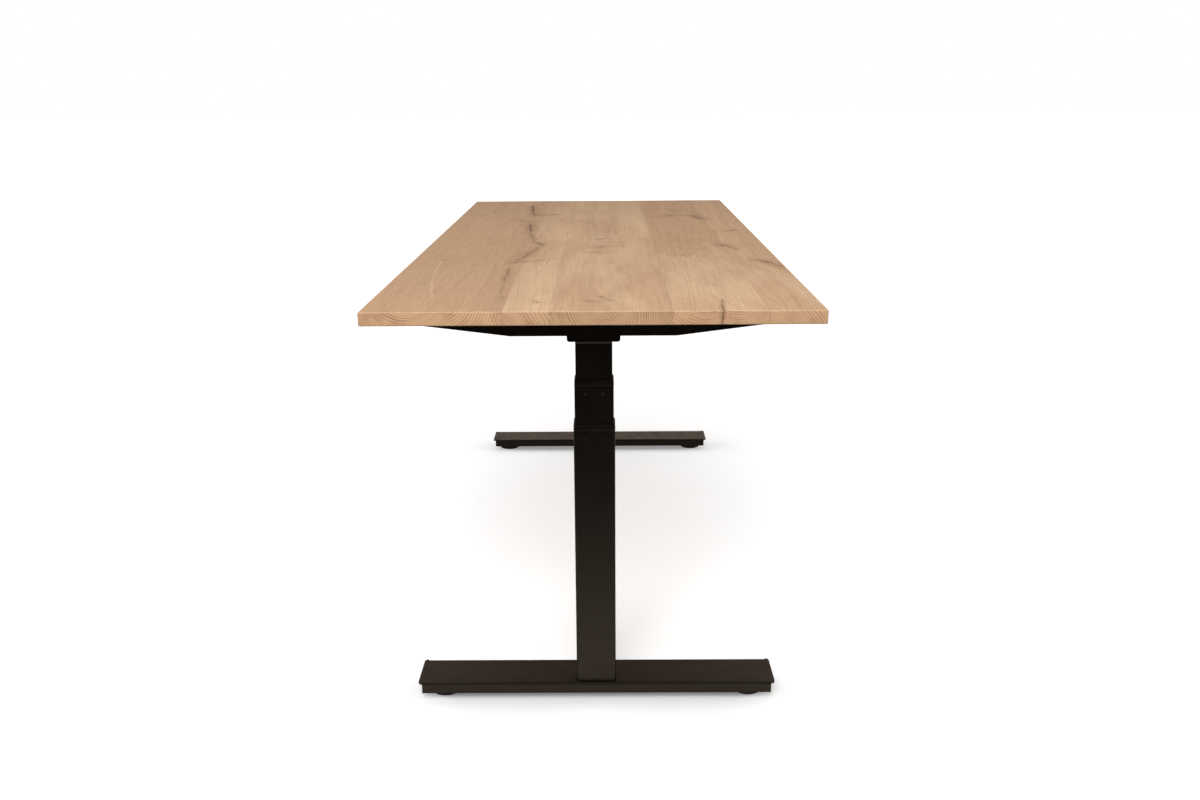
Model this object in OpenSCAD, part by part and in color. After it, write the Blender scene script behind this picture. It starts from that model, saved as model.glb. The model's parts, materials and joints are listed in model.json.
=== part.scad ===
// Height adjustable standing desk: a solid wood top on two T-legs with
// three-stage lifting columns, worked by a screw and a gear motor in each leg.
// Frame: the floor is z = 0, the middle of the desk is x = y = 0, the sitter
// is at -Y, the right leg is at +X. All sizes are in millimetres.

/* [Desktop] */
// Length of the desktop
top_l = 1800; // [1500:10:2200]
// Depth of the desktop
top_w = 800; // [740:10:1000]
// Thickness of the desktop
top_t = 25; // [18:1:40]
// Radius of the desktop's edges and corners
top_r = 2.5; // [1:0.5:4]
// Distance from the desktop's end to the foot's outer edge
end_setback = 93; // [60:0.5:200]

/* [Foot] */
// Length of the foot, front to back
foot_l = 705; // [560:5:740]
// Width of the foot
foot_w = 93; // [86:1:110]
// Thickness of the foot's folded sheet
foot_t = 3; // [2:0.5:5]
// Height of the foot's folded channel
foot_drop = 22; // [19.5:0.5:30]
// Length that each end of the plate reaches past the folded flanges
foot_tongue = 7.5; // [5:0.5:15]
// Outer radius of the foot's folded edges
foot_bend = 4.5; // [4:0.5:8]
// Height of the channel's lower edge above the floor
glide_gap = 15; // [13:0.5:20]
// Distance from each glide's axis to the foot's end
glide_inset = 50; // [40:1:90]
// Diameter of a levelling glide
glide_d = 62; // [40:1:70]
// Height of a levelling glide's pad
glide_h = 14; // [10:0.5:16]
// Radius of the lower edge of a levelling glide's pad
glide_lip = 1.5; // [1:0.5:6]
// Diameter of a levelling glide's stud
stud_d = 8; // [6:1:10]
// Outer diameter of the welded nut that holds a levelling stud
nut_d = 16; // [13:1:20]

/* [Columns] */
// Depth of the outer tube, along the foot
outer_y = 77; // [70:1:90]
// Width of the outer tube, across the foot
outer_x = 50; // [50:1:56]
// Outer corner radius of the outer tube
outer_r = 4; // [4:0.5:8]
// Wall of each tube
wall = 1.5; // [1:0.1:2]
// Amount by which each tube is smaller than the one around it
step = 4.8; // [4.6:0.2:6]
// Distance that the column stands off the foot's middle, outwards
col_off = 13.5; // [0:0.5:14]
// Length of the outer tube
outer_l = 521.5; // [450:0.5:600]
// Distance that each of the two moving stages is drawn out
stage_out = 65; // [0:5:310]
// Full travel of each moving stage
stage_stroke = 315; // [310:1:330]
// Height of the plastic collar on top of a tube
collar_h = 9; // [6:0.5:12]
// Middle tube that shows between the collars when the column is down
mid_show = 11; // [4:0.5:20]
// Inner tube that shows under the head when the column is down
inner_show = 9; // [7:0.5:20]
// Depth of a collar's sleeve inside its tube
sleeve_h = 26; // [24:1:40]
// Diameter of a collar's fixing pegs
peg_d = 5.5; // [3:0.5:6]
// Distance from a tube's upper end down to its pegs
peg_drop = 17; // [12:0.5:20]
// Distance between the two pegs of a wide face
peg_gap = 32; // [20:1:40]

/* [Lifting screws] */
// Thickness of the plate that closes the outer tube's foot
base_t = 6; // [5:0.5:10]
// Diameter of the screw that stands on the foot
fixed_d = 14; // [12:0.5:15]
// Outer diameter of the hollow screw
hollow_d = 28; // [27:0.5:30]
// Outer diameter of the drive tube
drive_d = 20; // [19:0.5:20.5]
// Wall of the drive tube
drive_wall = 2; // [1.5:0.1:2.2]
// Height of the shoulder of a tube's lower guide
guide_t = 8; // [6:0.5:12]
// Height of the plug of a tube's lower guide
plug_h = 12; // [11:0.5:16]
// Outer diameter of the thrust bearing
bearing_d = 32; // [30:0.5:34]
// Height of the thrust bearing
bearing_h = 9; // [6:0.5:10]

/* [Head and underframe] */
// Width of the head that holds the drive
head_w = 96.5; // [90:0.5:110]
// Height of the head
head_h = 48.5; // [47:0.5:60]
// Length of the head
head_l = 239; // [215:1:300]
// Thickness of the head's and bracket's sheet
sheet_t = 2.5; // [2:0.5:3]
// Outer radius of the head's folded edges
head_bend = 5; // [4:0.5:8]
// Height of the weld under the head
weld_h = 5.5; // [3:0.5:6]
// Width of the weld under the head
weld_w = 4; // [2:0.5:4.5]
// Length of the side bracket, front to back
bracket_l = 610; // [480:5:640]
// Length of the bracket's level lower edge
bracket_flat = 300; // [240:5:400]
// Height of the bracket at its ends
bracket_end_h = 22.5; // [15:0.5:34]
// Height of the bracket in its middle
bracket_h = 39.5; // [36:0.5:46]
// Width of the bracket's flange under the desktop
bracket_flange = 40; // [34:1:60]
// Height of the cross rails
rail_h = 36; // [30:1:38]
// Width of the cross rails
rail_w = 20; // [16:1:30]
// Wall of the rails and of their sleeves
rail_wall = 1.5; // [1:0.1:2.5]
// Length of the cross rails
rail_l = 600; // [400:10:620]
// Length of rail that stays inside its sleeve
rail_overlap = 220; // [120:10:250]
// Gap between a rail and its sleeve
rail_fit = 0.4; // [0.2:0.1:0.6]

/* [Drive] */
// Diameter of the motor
motor_d = 44; // [36:1:45]
// Length of the motor
motor_l = 120; // [90:1:125]
// Length of the gearbox along the desk
gear_l = 54; // [46:1:56]
// Width of the gearbox
gear_w = 60; // [50:1:66]
// Height of the gearbox
gear_h = 44; // [40:0.5:45]

/* [Control box] */
// Length of the control box
box_l = 240; // [180:5:300]
// Width of the control box
box_w = 108; // [80:1:130]
// Height of the control box below its back plate
box_h = 35; // [28:1:45]
// Thickness of the control box's back plate
box_plate = 3; // [2:0.5:4]
// Distance from the desk's middle to the control box's front face
box_y = 92; // [85:1:150]

/* [Handset] */
// Width of the handset
set_l = 120; // [115:1:150]
// Depth of the handset
set_w = 60; // [50:1:80]
// Height of the handset
set_h = 20; // [16:0.5:24]
// Distance from the desktop's right end to the handset's middle
set_x = 280; // [220:5:400]
// Distance from the desktop's front edge back to the handset's face
set_back = 4; // [2:0.5:8]
// Diameter of a button
button_d = 9.5; // [8:0.5:11]
// Length of a button that stands proud of the handset
button_proud = 1.2; // [0.8:0.1:1.4]
// Distance between buttons
button_pitch = 12.5; // [12:0.5:13]
// Travel of a button
button_travel = 0.8; // [0.5:0.1:1]
// Width of the handset's display
display_l = 28; // [20:1:30]
// Height of the handset's display
display_h = 12; // [8:0.5:13]

/* [Fits and fasteners] */
// Gap between parts that slide on each other
slide_fit = 0.1; // [0.05:0.05:0.2]
// Gap between a shaft or a thread and its bore
run_fit = 0.05; // [0.03:0.01:0.1]
// Gap between a fastener and its hole
bolt_fit = 0.2; // [0.1:0.05:0.4]
// Diameter of the bolts that hold a column to its foot
foot_bolt_d = 8; // [6:1:8]
// Diameter of the frame's machine screws
frame_bolt_d = 6; // [5:0.5:6]
// Diameter of the wood screws
wood_d = 4.5; // [3.5:0.5:5]
// Depth that the wood screws reach into the desktop
wood_depth = 15; // [10:1:16]

/* [Hidden] */
$fn = 40;

// Places along the desk
foot_x = top_l / 2 - end_setback - foot_w / 2;
col_x = foot_x + col_off;
end_wall_t = 2;
end_wall_in = 0.6;
gear_clear = 0.4;
head_x = col_x + gear_l / 2 + gear_clear + end_wall_t + end_wall_in;
bracket_x = head_x + sheet_t;
rail_end = head_x - rail_l;
sleeve_end = rail_end + rail_overlap;

// Heights, from the floor up
foot_top = glide_gap + foot_drop;
base_top = foot_top + base_t;
outer_top = foot_top + outer_l;
screw_foot_t = 4;
park_gap = 1.5;
mid_park = base_top + screw_foot_t + park_gap;
mid_b = mid_park + stage_out;
mid_top = outer_top + collar_h + mid_show + stage_out;
seat_gap = 0.3;
hollow_b = mid_b + guide_t + plug_h + seat_gap;
nut_park = 6;
inner_b = mid_b + guide_t + plug_h + nut_park + stage_out;
inner_top = mid_top + collar_h + inner_show + stage_out;
head_top = inner_top + head_h;
under_z = head_top + sheet_t;

// The column's sizes
mid_x = outer_x - step;
mid_y = outer_y - step;
corner_step = 0.5;
mid_r = outer_r - corner_step;
inner_x = mid_x - step;
inner_y = mid_y - step;
inner_r = mid_r - corner_step;
inner_nut_h = 24;
hollow_l = stage_stroke + 65;
fixed_top = mid_park + stage_stroke + guide_t + plug_h + seat_gap + inner_nut_h + 2;
drive_b = hollow_b + inner_nut_h + 2 + stage_out;
hub_d = drive_d + 4;
hub_h = 18;
key_w = 3;
key_h = 1.2;
base_hole_x = outer_x / 2 - 13;
base_hole_y = outer_y / 2 - 13;

// The underframe's sizes
rail_y = head_w / 2 + rail_w / 2;
rail_z = head_top - rail_h / 2;
sleeve_w = rail_w + 2 * (rail_fit + rail_wall);
sleeve_h_out = rail_h + 2 * (rail_fit + rail_wall);
tie_l = 60;
tie_x = sleeve_end - 90;
tab_l = 28;
gear_b = inner_top + sheet_t;
motor_z = gear_b + max(gear_h, motor_d) / 2;
rail_bolt_x = [head_x - 22, head_x - head_l + 22];
lock_x = sleeve_end - 25;

// Places of the wood screws, as [x, y, z of the head's seat]
wood_head_d = 9;
wood_head_h = 2.5;
sink_depth = 0.8 * sheet_t;
bracket_screw_y = [bracket_l / 2 - 18, bracket_l / 2 - 110, head_w / 2 + rail_w + 28];
bracket_screw_x = bracket_x - bracket_flange + 14;
tab_x = sleeve_end - 55;
tab_y = rail_y + sleeve_w / 2 + tab_l / 2;
box_ear = 14;
box_screw_y = [box_y + 18, box_y + box_w - 18];
set_mid_x = top_l / 2 - set_x;
set_face_y = -top_w / 2 + set_back;
set_floor = 4;
button_in = 3.8;
button_gap = 0.25;
display_t = 1.5;
display_x = -set_l / 2 + 6 + display_l / 2;
first_button_x = display_x + display_l / 2 + 10;
set_ear_x = set_l / 2 - 9;
set_ear_y = set_face_y + set_w - 9;
wood_points = concat(
    [for (s = [-1, 1], t = [-1, 1], y = bracket_screw_y) [s * bracket_screw_x, t * y, head_top]],
    [for (s = [-1, 1], t = [-1, 1]) [s * tab_x, t * tab_y, under_z - sheet_t]],
    [for (s = [-1, 1], y = box_screw_y) [s * (box_l / 2 + box_ear / 2), y, under_z - box_plate]],
    [for (s = [-1, 1]) [set_mid_x + s * set_ear_x, set_ear_y, under_z - set_floor]]
);

// ---------------------------------------------------------------- shapes

// A rectangle with round corners, about the origin
module round_rect(w, d, r) {
    square([w - 2 * r, d], center = true);
    square([w, d - 2 * r], center = true);
    for (x = [-1, 1], y = [-1, 1])
        translate([x * (w / 2 - r), y * (d / 2 - r)]) circle(r);
}

// A straight tube of rounded rectangular section, from z0 up to z1
module box_tube(w, d, r, t, z0, z1) {
    translate([0, 0, z0]) linear_extrude(z1 - z0) difference() {
        round_rect(w, d, r);
        round_rect(w - 2 * t, d - 2 * t, r - t);
    }
}

// A solid bar of rounded rectangular section, from z0 up to z1
module bar(w, d, r, z0, z1) {
    translate([0, 0, z0]) linear_extrude(z1 - z0) round_rect(w, d, r);
}

// Carries a profile (x outwards, y up) round a rectangle with round corners
module around(w, d, r) {
    for (i = [0 : 3]) rotate(90 * i) {
        a = i % 2 == 0 ? w : d;
        b = i % 2 == 0 ? d : w;
        translate([a / 2, b / 2 - r, 0]) rotate([90, 0, 0]) linear_extrude(b - 2 * r) children();
        translate([a / 2 - r, b / 2 - r, 0]) rotate_extrude(angle = 90) translate([r, 0]) children();
    }
}

// A round bar between two heights
module rod(d, z0, z1) {
    translate([0, 0, z0]) cylinder(d = d, h = z1 - z0);
}

// A folded channel's section: open at the top, its floor's underside on y = 0
module channel_section(w, h, t, r) {
    difference() {
        channel_outline(w, h, r);
        translate([0, t]) channel_outline(w - 2 * t, h, r - t);
    }
}

// The outline of a channel with round lower corners
module channel_outline(w, h, r) {
    translate([-w / 2, r]) square([w, h - r]);
    translate([-w / 2 + r, 0]) square([w - 2 * r, h]);
    for (s = [-1, 1]) translate([s * (w / 2 - r), r]) circle(r);
}

// A slab with all its edges rounded
module soft_slab(l, w, t, r) {
    cube([l - 2 * r, w - 2 * r, t], center = true);
    cube([l, w - 2 * r, t - 2 * r], center = true);
    cube([l - 2 * r, w, t - 2 * r], center = true);
    for (x = [-1, 1], y = [-1, 1])
        translate([x * (l / 2 - r), y * (w / 2 - r), 0]) cylinder(r = r, h = t - 2 * r, center = true);
    for (z = [-1, 1]) translate([0, 0, z * (t / 2 - r)]) {
        for (y = [-1, 1]) translate([0, y * (w / 2 - r), 0])
            rotate([0, 90, 0]) cylinder(r = r, h = l - 2 * r, center = true);
        for (x = [-1, 1]) translate([x * (l / 2 - r), 0, 0])
            rotate([90, 0, 0]) cylinder(r = r, h = w - 2 * r, center = true);
        for (x = [-1, 1], y = [-1, 1]) translate([x * (l / 2 - r), y * (w / 2 - r), 0]) sphere(r);
    }
}

// Puts a part of the right leg in its place on the left
module on_left() {
    mirror([1, 0, 0]) children();
}

// Moves a part from the column's axis to the right column
module at_column() {
    translate([col_x, 0, 0]) children();
}

// ---------------------------------------------------------------- desktop

module tabletop() {
    color("burlywood") difference() {
        translate([0, 0, under_z + top_t / 2]) soft_slab(top_l, top_w, top_t, top_r);
        for (p = wood_points)
            translate([p[0], p[1], 0]) rod(wood_d + 2 * run_fit, under_z - 1, under_z + wood_depth + 1);
    }
}

module wood_screw(p) {
    translate([p[0], p[1], 0]) {
        rod(wood_d, p[2], under_z + wood_depth);
        difference() {
            rod(wood_head_d, p[2] - wood_head_h, p[2]);
            rod(wood_head_d / 3, p[2] - wood_head_h - 1, p[2] - wood_head_h / 2);
        }
    }
}

module top_screws() {
    color("dimgray") for (p = wood_points) wood_screw(p);
}

// ---------------------------------------------------------------- foot

module foot_channel() {
    flange_l = foot_l - 2 * foot_tongue;
    translate([0, flange_l / 2, foot_top]) rotate([90, 0, 0])
        linear_extrude(flange_l) mirror([0, 1]) channel_section(foot_w, foot_drop, foot_t, foot_bend);
    // The plate's round-cornered ends, past the flanges
    translate([0, 0, foot_top - foot_t]) linear_extrude(foot_t) difference() {
        round_rect(foot_w, foot_l, foot_tongue);
        square([foot_w + 2, flange_l], center = true);
    }
}

module foot() {
    color("#26221f") translate([foot_x, 0, 0]) difference() {
        union() {
            foot_channel();
            for (s = [-1, 1]) translate([0, s * (foot_l / 2 - glide_inset), 0])
                rod(nut_d, glide_h + 3.5, foot_top - foot_t);
        }
        for (s = [-1, 1]) translate([0, s * (foot_l / 2 - glide_inset), 0])
            rod(stud_d + 2 * run_fit, glide_h, foot_top - foot_t);
        for (x = [-1, 1], y = [-1, 1])
            translate([col_off + x * base_hole_x, y * base_hole_y, 0])
                rod(foot_bolt_d + 2 * bolt_fit, foot_top - foot_t - 1, foot_top + 1);
    }
}

// A bolt from under the foot into the column's base plate
module foot_bolts() {
    head_h_out = 4;
    color("dimgray") at_column() for (x = [-1, 1], y = [-1, 1])
        translate([x * base_hole_x, y * base_hole_y, 0]) difference() {
            union() {
                rod(foot_bolt_d, foot_top - foot_t, base_top);
                rod(1.7 * foot_bolt_d, foot_top - foot_t - head_h_out, foot_top - foot_t);
            }
            translate([0, 0, foot_top - foot_t - head_h_out - 1])
                cylinder(d = 0.7 * foot_bolt_d, h = 1 + head_h_out * 0.6, $fn = 6);
        }
}

// A levelling glide: a round-edged pad moulded on a threaded stud
module glide(y_side) {
    color("#1c1c1c") translate([foot_x, y_side * (foot_l / 2 - glide_inset), 0]) {
        rotate_extrude() {
            square([glide_d / 2 - glide_lip, glide_h]);
            translate([0, glide_lip]) square([glide_d / 2, glide_h - glide_lip]);
            intersection() {
                translate([glide_d / 2 - glide_lip, glide_lip]) circle(glide_lip);
                square([glide_d / 2, glide_lip]);
            }
        }
        rod(stud_d, glide_h, foot_top - foot_t - 0.5);
    }
}

// ---------------------------------------------------------------- columns

// Pegs, or holes for them, through a tube's walls near its upper end
module pegs(w, d, z, peg, depth) {
    for (s = [-1, 1]) {
        for (y = [-1, 1]) translate([s * w / 2, y * peg_gap / 2, z - peg_drop])
            rotate([0, -90 * s, 0]) translate([0, 0, depth[0]]) cylinder(d = peg, h = depth[1] - depth[0]);
        translate([0, s * d / 2, z - peg_drop])
            rotate([90 * s, 0, 0]) translate([0, 0, depth[0]]) cylinder(d = peg, h = depth[1] - depth[0]);
    }
}

module outer_tube() {
    color("#24211e") at_column() difference() {
        box_tube(outer_x, outer_y, outer_r, wall, foot_top, outer_top);
        pegs(outer_x, outer_y, outer_top, peg_d + 2 * slide_fit, [-1, wall + 1]);
    }
}

module mid_tube() {
    color("#24211e") at_column() difference() {
        box_tube(mid_x, mid_y, mid_r, wall, mid_b + guide_t, mid_top);
        pegs(mid_x, mid_y, mid_top, peg_d + 2 * slide_fit, [-1, wall + 1]);
    }
}

module inner_tube() {
    color("#24211e") at_column()
        box_tube(inner_x, inner_y, inner_r, wall, inner_b + guide_t, inner_top);
}

// A collar caps a tube of outer size w x d, and its opening guides the tube
// inside, which has corners of radius r_in
module collar(w, d, r, r_in, z) {
    fit = wall + slide_fit;
    cap = step / 2 - slide_fit;
    edge = 1.2;
    lap = 0.5;
    color("#161616") at_column() difference() {
        union() {
            translate([0, 0, z]) around(w - 2 * cap, d - 2 * cap, r - cap)
                polygon([[0, 0], [cap, 0], [cap, collar_h - edge], [cap - edge, collar_h], [0, collar_h]]);
            bar(w - 2 * (cap - lap), d - 2 * (cap - lap), r - cap + lap, z, z + collar_h);
            bar(w - 2 * fit, d - 2 * fit, r - fit, z - sleeve_h, z);
            pegs(w, d, z, peg_d, [0.2, fit + 0.2]);
        }
        bar(w - 2 * cap, d - 2 * cap, r_in + slide_fit, z - sleeve_h - 1, z + collar_h + 1);
    }
}

module outer_collar() {
    collar(outer_x, outer_y, outer_r, mid_r, outer_top);
}

module mid_collar() {
    collar(mid_x, mid_y, mid_r, inner_r, mid_top);
}

// The plate welded in the foot of the outer tube
module base_plate() {
    color("#2b2825") at_column() difference() {
        bar(outer_x - 2 * (wall + slide_fit), outer_y - 2 * (wall + slide_fit),
            outer_r - wall - slide_fit, foot_top, base_top);
        for (x = [-1, 1], y = [-1, 1]) translate([x * base_hole_x, y * base_hole_y, 0])
            rod(foot_bolt_d + 2 * run_fit, foot_top - 1, base_top + 1);
    }
}

// The screw that stands still on the base plate
module fixed_screw() {
    color("silver") at_column() {
        rod(fixed_d, base_top, fixed_top);
        rod(fixed_d + 5, base_top, base_top + screw_foot_t);
    }
}

// The middle tube's lower guide, with the thrust bearing's seat
module mid_guide() {
    fit = wall + slide_fit;
    color("#d8d4c8") at_column() difference() {
        union() {
            bar(outer_x - 2 * fit, outer_y - 2 * fit, outer_r - fit, mid_b, mid_b + guide_t);
            bar(mid_x - 2 * fit, mid_y - 2 * fit, mid_r - fit, mid_b + guide_t, mid_b + guide_t + plug_h);
        }
        rod(fixed_d + 2, mid_b - 1, mid_b + guide_t + plug_h + 1);
        rod(bearing_d + 2 * run_fit, mid_b + guide_t + plug_h - bearing_h, mid_b + guide_t + plug_h + 1);
    }
}

module bearing() {
    z0 = mid_b + guide_t + plug_h - bearing_h;
    color("silver") at_column() difference() {
        rod(bearing_d, z0, z0 + bearing_h);
        rod(fixed_d + 2, z0 - 1, z0 + bearing_h + 1);
    }
}

// The hollow screw climbs the fixed screw and lifts the nut of the inner tube
module hollow_screw() {
    color("silver") at_column() difference() {
        rod(hollow_d, hollow_b, hollow_b + hollow_l);
        rod(fixed_d + 2 * run_fit, hollow_b - 1, hollow_b + inner_nut_h + 1);
        rod(drive_d + 2 * slide_fit, hollow_b + inner_nut_h, hollow_b + hollow_l + 1);
        for (a = [0, 180]) rotate(a)
            translate([0, -key_w / 2 - slide_fit, hollow_b + inner_nut_h])
                cube([drive_d / 2 + key_h + slide_fit, key_w + 2 * slide_fit, hollow_l]);
    }
}

// The drive tube hangs from the gearbox and turns the hollow screw by its keys
module drive_tube() {
    color("gainsboro") at_column() difference() {
        union() {
            rod(drive_d, drive_b, gear_b + hub_h);
            rod(hub_d, gear_b, gear_b + hub_h);
            for (a = [0, 180]) rotate(a) translate([0, -key_w / 2, drive_b])
                cube([drive_d / 2 + key_h, key_w, inner_nut_h]);
        }
        rod(drive_d - 2 * drive_wall, drive_b - 1, gear_b + hub_h + 1);
    }
}

// The inner tube's lower guide, with the nut of the hollow screw
module travel_nut() {
    fit = wall + slide_fit;
    top = inner_b + guide_t + plug_h;
    color("#d8d4c8") at_column() difference() {
        union() {
            bar(mid_x - 2 * fit, mid_y - 2 * fit, mid_r - fit, inner_b, inner_b + guide_t);
            bar(inner_x - 2 * fit, inner_y - 2 * fit, inner_r - fit, inner_b + guide_t, top);
        }
        rod(hollow_d + 2 * run_fit, inner_b - 1, top + 1);
    }
}

// ---------------------------------------------------------------- head

// The folded tray on top of the column, which holds the motor and gearbox
module column_head() {
    weld_l = inner_y - 2 * inner_r + 2;
    color("#24211e") difference() {
        union() {
            translate([head_x - head_l, 0, inner_top]) rotate([90, 0, 90])
                linear_extrude(head_l) channel_section(head_w, head_h, sheet_t, head_bend);
            // End walls, a little inside the channel's ends
            for (x = [head_x - end_wall_t - end_wall_in, head_x - head_l + end_wall_in])
                translate([x, -head_w / 2 + head_bend, inner_top + sheet_t / 2])
                    cube([end_wall_t, head_w - 2 * head_bend, head_h - sheet_t / 2 - 2]);
            // The welds along the inner tube's wide faces
            translate([col_x, weld_l / 2, inner_top]) rotate([90, 0, 0]) linear_extrude(weld_l)
                for (s = [0, 1]) mirror([s, 0])
                    polygon([[inner_x / 2, 0], [inner_x / 2, -weld_h], [inner_x / 2 + weld_w, 0]]);
        }
        translate([col_x, 0, 0]) rod(hub_d + 4, inner_top - 1, inner_top + sheet_t + 1);
        for (x = rail_bolt_x) translate([x, 0, rail_z]) rotate([90, 0, 0])
            cylinder(d = frame_bolt_d + 2 * bolt_fit, h = head_w + 2, center = true);
        // A notch for the motor's lead
        translate([head_x - head_l - 1, 12, inner_top + head_h - 14]) cube([end_wall_t + 4, 16, 15]);
    }
}

module gearbox() {
    rib = 3;
    color("#8d9093") at_column() difference() {
        union() {
            bar(gear_l, gear_w, 6, gear_b, gear_b + gear_h);
            bar(gear_l - 2 * rib, gear_w + 2 * rib, 4, gear_b + rib, gear_b + gear_h - 4 * rib);
        }
        rod(hub_d + 2 * run_fit, gear_b - 1, gear_b + hub_h + 0.5);
    }
}

module motor() {
    end = col_x - gear_l / 2;
    neck = 12;
    cap = 8;
    color("#a9abad") translate([end, 0, motor_z]) rotate([0, -90, 0]) {
        cylinder(d = motor_d * 0.7, h = neck);
        translate([0, 0, neck]) cylinder(d = motor_d, h = motor_l - neck - cap);
        translate([0, 0, motor_l - cap]) cylinder(d = motor_d * 0.8, h = cap - 2);
    }
}

// ---------------------------------------------------------------- underframe

// The side bracket: a folded angle whose web tapers to both ends
module side_bracket() {
    web = [
        [-bracket_l / 2, 0], [-bracket_l / 2, sheet_t - bracket_end_h],
        [-bracket_flat / 2, -bracket_h], [bracket_flat / 2, -bracket_h],
        [bracket_l / 2, sheet_t - bracket_end_h], [bracket_l / 2, 0]
    ];
    corner = 8;
    color("#24211e") difference() {
        union() {
            translate([bracket_x - sheet_t, 0, under_z]) rotate([90, 0, 90])
                linear_extrude(sheet_t) polygon(web);
            translate([0, 0, head_top]) linear_extrude(sheet_t) intersection() {
                translate([bracket_x - bracket_flange, 0]) round_rect(2 * bracket_flange, bracket_l, corner);
                translate([bracket_x - bracket_flange, -bracket_l / 2]) square([bracket_flange, bracket_l]);
            }
        }
        for (t = [-1, 1], y = bracket_screw_y) translate([bracket_screw_x, t * y, 0])
            rod(wood_d + 2 * bolt_fit, head_top - 1, under_z + 1);
        for (t = [-1, 1]) translate([bracket_screw_x, t * rail_y, 0]) countersink();
    }
}

// The hole that a countersunk frame screw sits in, through the bracket's flange
module countersink() {
    rod(frame_bolt_d + 2 * bolt_fit, head_top - 1, under_z);
    translate([0, 0, under_z - sink_depth])
        cylinder(d1 = frame_bolt_d + 2 * bolt_fit, d2 = 2 * frame_bolt_d, h = sink_depth + 0.01);
}

// Countersunk screws that hold the brackets down on the cross rails
module bracket_screws() {
    color("dimgray") for (s = [-1, 1], t = [-1, 1])
        translate([s * bracket_screw_x, t * rail_y, 0]) {
            rod(frame_bolt_d, head_top - 8, under_z - 0.6);
            translate([0, 0, under_z - sink_depth])
                cylinder(d1 = frame_bolt_d, d2 = 2 * frame_bolt_d - 1, h = sink_depth - 0.2);
        }
}

// A rail along one side of the head, which slides in the centre frame's sleeve
module cross_rail(side) {
    color("#24211e") difference() {
        translate([rail_end, side * rail_y, rail_z]) rotate([90, 0, 90])
            linear_extrude(rail_l) difference() {
                round_rect(rail_w, rail_h, 2.5);
                round_rect(rail_w - 2 * rail_wall, rail_h - 2 * rail_wall, 1);
            }
        for (x = rail_bolt_x) translate([x, side * rail_y, rail_z]) rotate([90 * side, 0, 0])
            cylinder(d = frame_bolt_d + 2 * bolt_fit, h = rail_w);
        translate([bracket_screw_x, side * rail_y, 0])
            rod(frame_bolt_d + 2 * run_fit, head_top - rail_wall - 1, head_top + 1);
    }
}

// Two sleeves joined by ties, with tabs that are screwed to the desktop
module center_frame() {
    color("#24211e") difference() {
        union() {
            for (t = [-1, 1]) translate([-sleeve_end, t * rail_y, rail_z]) rotate([90, 0, 90])
                linear_extrude(2 * sleeve_end) round_rect(sleeve_w, sleeve_h_out, 3.5);
            for (s = [-1, 1]) translate([s * tie_x, 0, rail_z - sleeve_h_out / 2 + 5])
                cube([tie_l, 2 * rail_y - sleeve_w + 2, 3], center = true);
            for (s = [-1, 1], t = [-1, 1]) translate([s * tab_x, t * tab_y, under_z - sheet_t])
                linear_extrude(sheet_t) round_rect(tab_l, tab_l + 6, 5);
        }
        for (t = [-1, 1]) translate([-sleeve_end - 1, t * rail_y, rail_z]) rotate([90, 0, 90])
            linear_extrude(2 * sleeve_end + 2)
                round_rect(sleeve_w - 2 * rail_wall, sleeve_h_out - 2 * rail_wall, 2);
        for (s = [-1, 1], t = [-1, 1]) {
            translate([s * tab_x, t * tab_y, 0])
                rod(wood_d + 2 * bolt_fit, under_z - sheet_t - 1, under_z + 1);
            translate([s * lock_x, t * rail_y, 0])
                rod(frame_bolt_d + 2 * run_fit, rail_z - sleeve_h_out / 2 - 1, rail_z - rail_h / 2);
        }
    }
}

// Screws that lock the rails in their sleeves
module rail_lock_screws() {
    seat = rail_z - sleeve_h_out / 2;
    color("dimgray") for (s = [-1, 1], t = [-1, 1]) translate([s * lock_x, t * rail_y, 0]) difference() {
        union() {
            rod(frame_bolt_d, seat, rail_z - rail_h / 2 - 0.1);
            rod(2 * frame_bolt_d, seat - 3.5, seat);
        }
        translate([0, 0, seat - 4.5]) cylinder(d = 0.75 * frame_bolt_d, h = 3, $fn = 6);
    }
}

// Bolts from inside the head into the cross rails
module rail_bolts() {
    inside = head_w / 2 - sheet_t;
    color("dimgray") for (s = [-1, 1], t = [-1, 1], x = rail_bolt_x)
        translate([s * x, t * inside, rail_z]) rotate([-90 * t, 0, 0]) {
            cylinder(d = frame_bolt_d, h = 10);
            translate([0, 0, -4]) cylinder(d = 1.7 * frame_bolt_d, h = 4);
        }
}

// ---------------------------------------------------------------- control box

module control_box() {
    port_w = [24, 14, 14, 14, 14];
    port_x = [-84, -40, -14, 12, 38];
    port_depth = 9;
    port_h = 13;
    vent_w = 3;
    vent_h = 18;
    vent_depth = 3;
    vent_pitch = 9;
    pad_h = 1.5;
    color("#1b1b1c") translate([0, box_y + box_w / 2, under_z - box_plate - box_h]) difference() {
        union() {
            linear_extrude(box_h) round_rect(box_l, box_w, 6);
            for (x = [-1, 1]) translate([x * box_l / 4, 0, -pad_h]) linear_extrude(pad_h + 1)
                round_rect(box_l / 3, box_w * 0.7, 4);
        }
        for (i = [0 : 4]) translate([port_x[i] * box_l / 240, -box_w / 2, box_h / 2])
            cube([port_w[i], 2 * port_depth, port_h], center = true);
        for (i = [-5 : 5]) translate([i * vent_pitch, box_w / 2, box_h / 2])
            cube([vent_w, 2 * vent_depth, vent_h], center = true);
    }
}

module control_box_plate() {
    color("#2a2a2b") difference() {
        translate([0, box_y + box_w / 2, under_z - box_plate]) linear_extrude(box_plate)
            round_rect(box_l + 2 * box_ear, box_w, 6);
        for (s = [-1, 1], y = box_screw_y) translate([s * (box_l / 2 + box_ear / 2), y, 0])
            rod(wood_d + 2 * bolt_fit, under_z - box_plate - 1, under_z + 1);
    }
}

// ---------------------------------------------------------------- handset

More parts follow.
